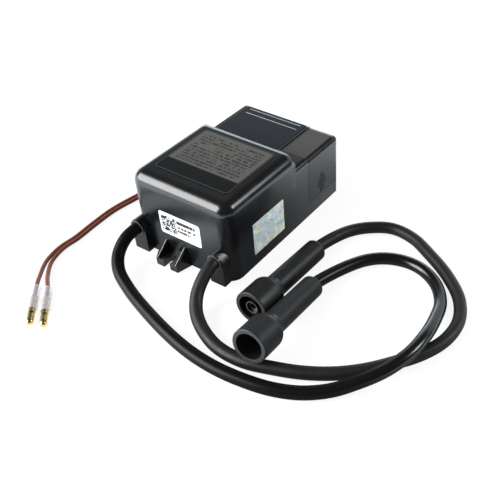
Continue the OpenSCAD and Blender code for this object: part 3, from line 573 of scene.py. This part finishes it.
def sleeve_paint():
    """Clear soft plastic, thin enough to be drawn by its alpha."""
    p = Paint("sleeve_paint")
    p.set(Base_Color=p.drifting("#d9d8e2", 0.05, 300), Roughness=0.15, IOR=1.46, Alpha=0.24)
    return p.bump(p.noise(250), 0.1, 0.0002)


def glass_paint():
    """Clear glass of the fuse's tube."""
    p = Paint("fuse_glass_paint")
    p.set(Base_Color=p.drifting("#dfeeee", 0.03, 200), Roughness=0.03, IOR=1.5, Alpha=0.35)
    return p.mat


def supply_paint():
    """Brown insulation, painted lighter orange-brown on its upper side as painted light and dark
    maroon below as painted shade.
    """
    p = Paint("supply_paint")
    _, _, up = p.axes(p.surface("Normal"))
    # Painted light and shade: the colour follows how far the surface faces up
    colour = p.mix(p.ranged(up, 0.2, 0.85), "#38191b", p.drifting("#743c26", 0.18, 200))
    return p.moulded(colour, p.uneven(0.34), 0.03, 0.0)


def left_lead_paint():
    """Left lead: dull where it comes from the case, glossy round the bend to its boot."""
    p = Paint("hv_lead_left_paint")
    x, y, _ = p.axes()
    glossy = p.product(p.ranged(x, 0.060, 0.115), p.ranged(y, -0.090, -0.060))
    p.set(Specular_IOR_Level=p.blend(glossy, 0.13, 0.55, smooth=False))
    roughness = p.blend(glossy, 0.32, 0.20, smooth=False)
    return p.moulded(p.drifting("#0c0c0d"), roughness, 0.02, 0.3)


def right_lead_paint():
    """Right lead: dull all along."""
    p = Paint("hv_lead_right_paint")
    p.set(Specular_IOR_Level=0.36)
    return p.moulded(p.drifting("#151516"), p.uneven(0.50), 0.03, 0.3)


def wound_paint(name, colour, pitch):
    """Enamelled wire, wound in close turns."""
    p = Paint(name)
    _, _, z = p.axes()
    turns = p.math("SINE", p.product(z, 2 * math.pi / pitch))
    p.set(Base_Color=p.drifting(colour, 0.2, 500), Metallic=0.6, Roughness=0.35)
    return p.bump(turns, 0.8, pitch / 4)


def laminate_paint():
    """Green circuit board with a faint weave."""
    p = Paint("laminate_paint")
    weave = p.made(
        "ShaderNodeTexWave", {"Vector": p.place, "Scale": 900, "Distortion": 1.0}, "Fac",
        wave_type="BANDS",
    )
    p.set(Base_Color=p.drifting("#3d6b3a", 0.15, 150), Roughness=0.42, IOR=1.5)
    return p.bump(weave, 0.1, 0.0001)


# Materials of the record's slots
PAINTS = {
    "case_plastic": block_paint(
        "case_paint", "front_case", "#0f1012", "#141516", roughness=0.22, wave=0.5,
        rim_width=0.0032,
    ),
    "base_plastic": moulded_paint("base_paint", "#1c1c1e", 0.45, grain=0.06),
    "cover_plastic": block_paint(
        "cover_paint", "rear_case", "#121315", "#403f3e", roughness=0.24, wave=0.4,
        rim_width=0.0022, side_gloss=0.34,
    ),
    "potting_resin": moulded_paint("resin_paint", "#3a3430", 0.35, grain=0.03, wave=0.6),
    "fuse_glass": glass_paint(),
    "fuse_cap_metal": metal_paint("cap_metal_paint", "#c9c9c4", 0.22),
    "clip_brass": metal_paint("clip_brass_paint", "#b89a52", 0.28),
    "rating_label_film": rating_label_paint(),
    "rear_label_film": rear_label_paint(),
    "code_label_film": code_label_paint(),
    "seal_foil": seal_paint(),
    # Boots: the paler colour on their mouths is a painted highlight
    "boot_rubber": rubber_paint(
        "boot_paint", "#141516", spread=0.45, roughness=0.42, level=0.41, grain=0.05, wave=1.2,
        edge=0.0006, mouth=(0.035, -0.992, 0.12), mouth_highlight_colour="#303133",
    ),
    "hv_lead_silicone": moulded_paint("hv_lead_paint", "#141415", 0.46, grain=0.03, wave=0.3),
    "contact_metal": contact_paint("left"),
    "supply_pvc": supply_paint(),
    "clear_sleeve": sleeve_paint(),
    "terminal_brass": metal_paint("brass_paint", "#c4ad78", 0.27),
    "ferrite": moulded_paint("ferrite_paint", "#3c3c40", 0.5, grain=0.08),
    "bobbin_nylon": moulded_paint("bobbin_paint", "#d8cfae", 0.45, spread=0.06),
    "enamelled_copper": wound_paint("copper_paint", "#b4622d", 0.0006),
    "fine_copper": wound_paint("fine_copper_paint", "#8a3f24", 0.0002),
    "board_laminate": laminate_paint(),
    "film_capacitor_case": moulded_paint("film_capacitor_paint", "#a8282b", 0.38, spread=0.1),
    "can_sleeve": moulded_paint("can_paint", "#20242e", 0.3),
    "device_plastic": moulded_paint("device_paint", "#17181a", 0.45, grain=0.08),
    "sink_aluminium": metal_paint("sink_paint", "#a9abad", 0.35, marks_scale=(200, 200, 4000)),
    "resistor_body": moulded_paint("resistor_paint", "#8fb7c9", 0.4, spread=0.08),
    "terminal_block_plastic": moulded_paint("block_paint", "#2f6f4a", 0.4, spread=0.08),
}


def paint_node(name, paint):
    """Gives a piece one material, and leaves its mesh alone."""
    for slot in nodes[name].material_slots:
        slot.link = "OBJECT"
        slot.material = paint


def paint_all():
    """Each piece gets its slot's material, and a few pieces get one of their own."""
    for part in frame["record"]["subparts"]:
        paint_node(part["node"], PAINTS[part["material_slot"]])
    paint_node("front_foot", foot_paint())
    paint_node("rear_case", block_paint(
        "rear_case_paint", "rear_case", "#101113", "#2c2c2c", roughness=0.24, wave=0.4,
        rim_width=0.0022,
    ))
    paint_node("contact_right", contact_paint("right"))
    boss = boss_paint()
    # Collars: the paler colour on their front faces is a painted highlight
    collar = rubber_paint(
        "collar_paint", "#111112", spread=0.25, roughness=0.24, level=0.5, grain=0.01, wave=0.3,
        edge=0.0004, mouth=(0.0, -1.0, 0.0), mouth_highlight_colour="#48494a",
    )
    for side in ("left", "right"):
        paint_node(f"lead_boss_{side}", boss)
        paint_node(f"collar_{side}", collar)


paint_all()


def smooth_path(points, step, lowest):
    """A curve through points in millimetres, no lower than lowest, cut into short steps of about
    equal length. The curve, the step and the length are in metres."""
    p = [Vector(tuple(c / 1000 for c in point)) for point in points]
    p = [p[0] * 2 - p[1]] + p + [p[-1] * 2 - p[-2]]
    dense = []
    cuts = 24
    for i in range(1, len(p) - 2):
        a, b, c, d = p[i - 1:i + 3]
        knots = [0.0]
        for u, v in ((a, b), (b, c), (c, d)):
            knots.append(knots[-1] + math.sqrt((v - u).length))
        t0, t1, t2, t3 = knots
        for k in range(cuts):
            t = t1 + (t2 - t1) * k / cuts
            ab = a * ((t1 - t) / (t1 - t0)) + b * ((t - t0) / (t1 - t0))
            bc = b * ((t2 - t) / (t2 - t1)) + c * ((t - t1) / (t2 - t1))
            cd = c * ((t3 - t) / (t3 - t2)) + d * ((t - t2) / (t3 - t2))
            abc = ab * ((t2 - t) / (t2 - t0)) + bc * ((t - t0) / (t2 - t0))
            bcd = bc * ((t3 - t) / (t3 - t1)) + cd * ((t - t1) / (t3 - t1))
            dense.append(abc * ((t2 - t) / (t2 - t1)) + bcd * ((t - t1) / (t2 - t1)))
    dense.append(p[-2])
    for q in dense:
        q.z = max(q.z, lowest)
    run = [0.0]
    for u, v in zip(dense, dense[1:]):
        run.append(run[-1] + (v - u).length)
    count = max(2, round(run[-1] / step))
    out, j = [], 0
    for k in range(count + 1):
        want = run[-1] * k / count
        while j < len(run) - 2 and run[j + 1] < want:
            j += 1
        span = run[j + 1] - run[j]
        out.append(dense[j].lerp(dense[j + 1], (want - run[j]) / span if span else 0.0))
    return out, run[-1]


def tube(name, path, radius, sides, paint):
    """Round tube along a path, closed at both ends."""
    count = len(path)
    across = Vector((0, 0, 1)).cross(path[1] - path[0]).normalized()
    verts, faces = [], []
    for i, point in enumerate(path):
        ahead = (path[min(i + 1, count - 1)] - path[max(i - 1, 0)]).normalized()
        across = (across - ahead * across.dot(ahead)).normalized()
        up = ahead.cross(across)
        for k in range(sides):
            turn = 2 * math.pi * k / sides
            verts.append(point + radius * (math.cos(turn) * across + math.sin(turn) * up))
    for i in range(count - 1):
        for k in range(sides):
            a, b = i * sides + k, i * sides + (k + 1) % sides
            faces.append((a, b, b + sides, a + sides))
    faces.append(tuple(range(sides - 1, -1, -1)))
    faces.append(tuple((count - 1) * sides + k for k in range(sides)))
    mesh = bpy.data.meshes.new(name)
    mesh.from_pydata([tuple(v) for v in verts], [], faces)
    for face in mesh.polygons:
        face.use_smooth = len(face.vertices) == 4
    mesh.materials.append(paint)
    piece = bpy.data.objects.new(name, mesh)
    scene.collection.objects.link(piece)
    return piece


def hv_lead(side, route, paint):
    """High-voltage lead, from inside its boss to the contact in its boot."""
    x = HV_X[side]
    mouth, along, contact_end = BOOTS[side]
    points = [(x, y, HV_Z) for y in (HV_START_Y, HV_WALL_Y, COLLAR_Y - 1)] + route
    # Straight along the boot's axis, by the distance from its mouth
    points += [mouth + along * s for s in (BOOT_L + 3, 48, contact_end)]
    path, length = smooth_path(points, step=0.0012, lowest=HV_RADIUS)
    lead = tube(f"hv_lead_{side}_skin", path, HV_RADIUS, sides=28, paint=paint)
    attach(lead, "case")
    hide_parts(f"hv_lead_{side}")


def supply_lead(side, route):
    """Supply lead, from behind its grommet to the bullet in its sleeve."""
    start, heading, sign = SLEEVES[side]
    y = GROMMET_Y + sign * SUPPLY_APART
    turn = math.radians(heading)
    along = Vector((math.cos(turn), math.sin(turn), 0))
    points = [(x, y, GROMMET_Z) for x in SUPPLY_WALL_X] + route
    # Straight along the sleeve, by the distance from its end
    points += [Vector(start) + along * s for s in (-1, 3.2, 7.35)]
    path, length = smooth_path(points, step=0.0008, lowest=SUPPLY_RADIUS)
    lead = tube(
        f"supply_lead_{side}_skin", path, SUPPLY_RADIUS, sides=20, paint=PAINTS["supply_pvc"]
    )
    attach(lead, "case")
    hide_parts(f"supply_lead_{side}")


hv_lead("left", ROUTE_LEFT, left_lead_paint())
hv_lead("right", ROUTE_RIGHT, right_lead_paint())
supply_lead("a", ROUTE_SUPPLY_A)
supply_lead("b", ROUTE_SUPPLY_B)


def softbox(name, azimuth, elevation, wide, high, radiance, edges):
    """Rectangular lamp that is seen under the given angles in degrees. It fades to its edges
    over a share of its width and one of its height."""
    data = bpy.data.lights.new(name, "AREA")
    data.shape = "RECTANGLE"
    data.size, data.size_y = (
        2 * LAMP_FAR * math.tan(math.radians(angle / 2)) for angle in (wide, high)
    )
    data.energy = radiance * math.pi * data.size * data.size_y
    data.use_nodes = True
    g = Graph(data.node_tree)
    g.place = g.add("ShaderNodeNewGeometry").outputs["Parametric"]
    fades = [
        g.ranged(g.math("PINGPONG", value, 0.5), 0.0, edge / 2)
        for value, edge in zip(g.axes(), edges)
    ]
    g.feed(g.tree.nodes["Emission"].inputs["Strength"], g.product(*fades))
    lamp = bpy.data.objects.new(name, data)
    scene.collection.objects.link(lamp)
    a, e = math.radians(azimuth), math.radians(elevation)
    away = Vector((math.cos(a) * math.cos(e), math.sin(a) * math.cos(e), math.sin(e)))
    lamp.location = away * LAMP_FAR
    lamp.rotation_euler = away.to_track_quat("Z", "Y").to_euler()
    lamp.visible_camera = False


softbox(
    "key_light", azimuth=225, elevation=27, wide=56, high=48, radiance=11.5, edges=(0.45, 0.35)
)
softbox(
    "back_light", azimuth=33, elevation=32, wide=28, high=30, radiance=14.0, edges=(0.9, 0.9)
)


def make_world():
    """White to the camera, and an even light to matt surfaces. Shiny ones see a dim room with a
    pale wall low down behind, brightest at its foot."""
    world = bpy.data.worlds.new("studio")
    scene.world = world
    world.use_nodes = True
    g = Graph(world.node_tree)
    g.tree.nodes.clear()
    g.place = g.add("ShaderNodeTexCoord").outputs["Generated"]
    x, y, z = g.axes()
    azimuth = g.math("ARCTAN2", y, x)

    def below(low, high):
        """1 below the first elevation and 0 above the second one, in degrees."""
        low, high = (math.sin(math.radians(angle)) for angle in (low, high))
        return g.ranged(z, low, high, 1.0, 0.0)

    def around(start, end, to_start, to_end):
        """A share that changes between two azimuths in degrees."""
        return g.ranged(azimuth, math.radians(start), math.radians(end), to_start, to_end)

    def background(colour, strength):
        return g.made("ShaderNodeBackground", {"Color": colour, "Strength": strength})

    room_light, wall_light, foot_light = 0.10, 1.25, 3.2
    wall = g.product(below(31, 35.5), around(54, 64, 0.0, 1.0), around(132, 142, 1.0, 0.35))
    foot = g.product(below(6, 18), around(92, 104, 0.0, 1.0), foot_light)
    glow = g.math("ADD", g.product(wall, g.math("ADD", foot, wall_light)), room_light)
    shader = background(tuple(0.8 * c for c in COOL), glow)
    even, white = background((1, 1, 1), 0.65), background((1, 1, 1), 1.0)
    rays = g.add("ShaderNodeLightPath")
    for kind, other in (
        ("Is Diffuse Ray", even), ("Is Transmission Ray", white), ("Is Camera Ray", white)
    ):
        shader = g.made("ShaderNodeMixShader", (rays.outputs[kind], shader, other))
    g.feed(g.add("ShaderNodeOutputWorld").inputs[0], shader)


make_world()


def floor_paint():
    """White to the camera apart from a faint shadow. To shiny surfaces it glows with painted light:
    bright on the key light's side, with painted shadow near the case and round the boots."""
    p = Paint("floor_paint", "ShaderNodeBsdfDiffuse")
    x, y, _ = p.axes()
    (x0, y0, _), (x1, _, _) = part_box("front_case")
    _, (_, y1, _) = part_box("rear_case")

    def away_from(at_x, at_y):
        return p.distance(p.math("SUBTRACT", x, at_x), p.math("SUBTRACT", y, at_y))

    from_case = p.distance(p.past(x, x0, x1), p.past(y, y0, y1))
    # Painted shadow: darker near the case and round the boots, as seen by shiny surfaces
    painted_case_shadow = p.ranged(from_case, 0.008, 0.075, 0.32, 1.0)
    painted_boot_shadow = p.ranged(away_from(0.095, -0.050), 0.060, 0.118, 0.12, 1.0)
    # Painted light: a pale spot in front of the foot, between the leads
    painted_light_spot = p.ranged(away_from(-0.012, -0.086), 0.004, 0.032, 0.9, 0.0)
    # Painted light: brighter farther out on the left, and darker farther out on the right
    out = p.distance(x, y)
    left = p.ranged(out, 0.08, 0.26, 1.55, 2.8)
    right = p.ranged(out, 0.18, 0.42, 1.9, 0.3)
    side = p.ranged(x, -0.04, 0.06)
    wide = p.math("ADD", p.product(side, right), p.product(p.opposite(side), left))
    rays = p.add("ShaderNodeLightPath")
    glossy, camera = rays.outputs["Is Glossy Ray"], rays.outputs["Is Camera Ray"]
    to_matt, to_glossy, to_camera = ((grey, grey, grey) for grey in (0.85, 0.1, 0.17))
    p.set(Color=p.mix(camera, p.mix(glossy, to_matt, to_glossy), to_camera))
    # Painted reflection: shiny surfaces see this pattern of painted light and shadow glow from the
    # floor
    seen = p.product(glossy, painted_boot_shadow, p.math("ADD", p.product(painted_case_shadow, wide), painted_light_spot))
    glow = p.made("ShaderNodeEmission", {
        "Color": p.mix(camera, COOL, (1, 1, 1)),
        "Strength": p.math("ADD", p.product(camera, 0.86), seen),
    })
    p.feed(p.out.inputs[0], p.made("ShaderNodeAddShader", (p.shader.outputs[0], glow)))
    return p.mat


def make_floor():
    """Flat floor just under the part's base."""
    mesh = bpy.data.meshes.new("floor")
    corners = [
        (x * FLOOR_HALF, y * FLOOR_HALF, 0) for x, y in ((-1, -1), (1, -1), (1, 1), (-1, 1))
    ]
    mesh.from_pydata(corners, [], [(0, 1, 2, 3)])
    mesh.materials.append(floor_paint())
    floor = bpy.data.objects.new("floor", mesh)
    floor.location = (0, 0, -0.0002)
    scene.collection.objects.link(floor)


make_floor()
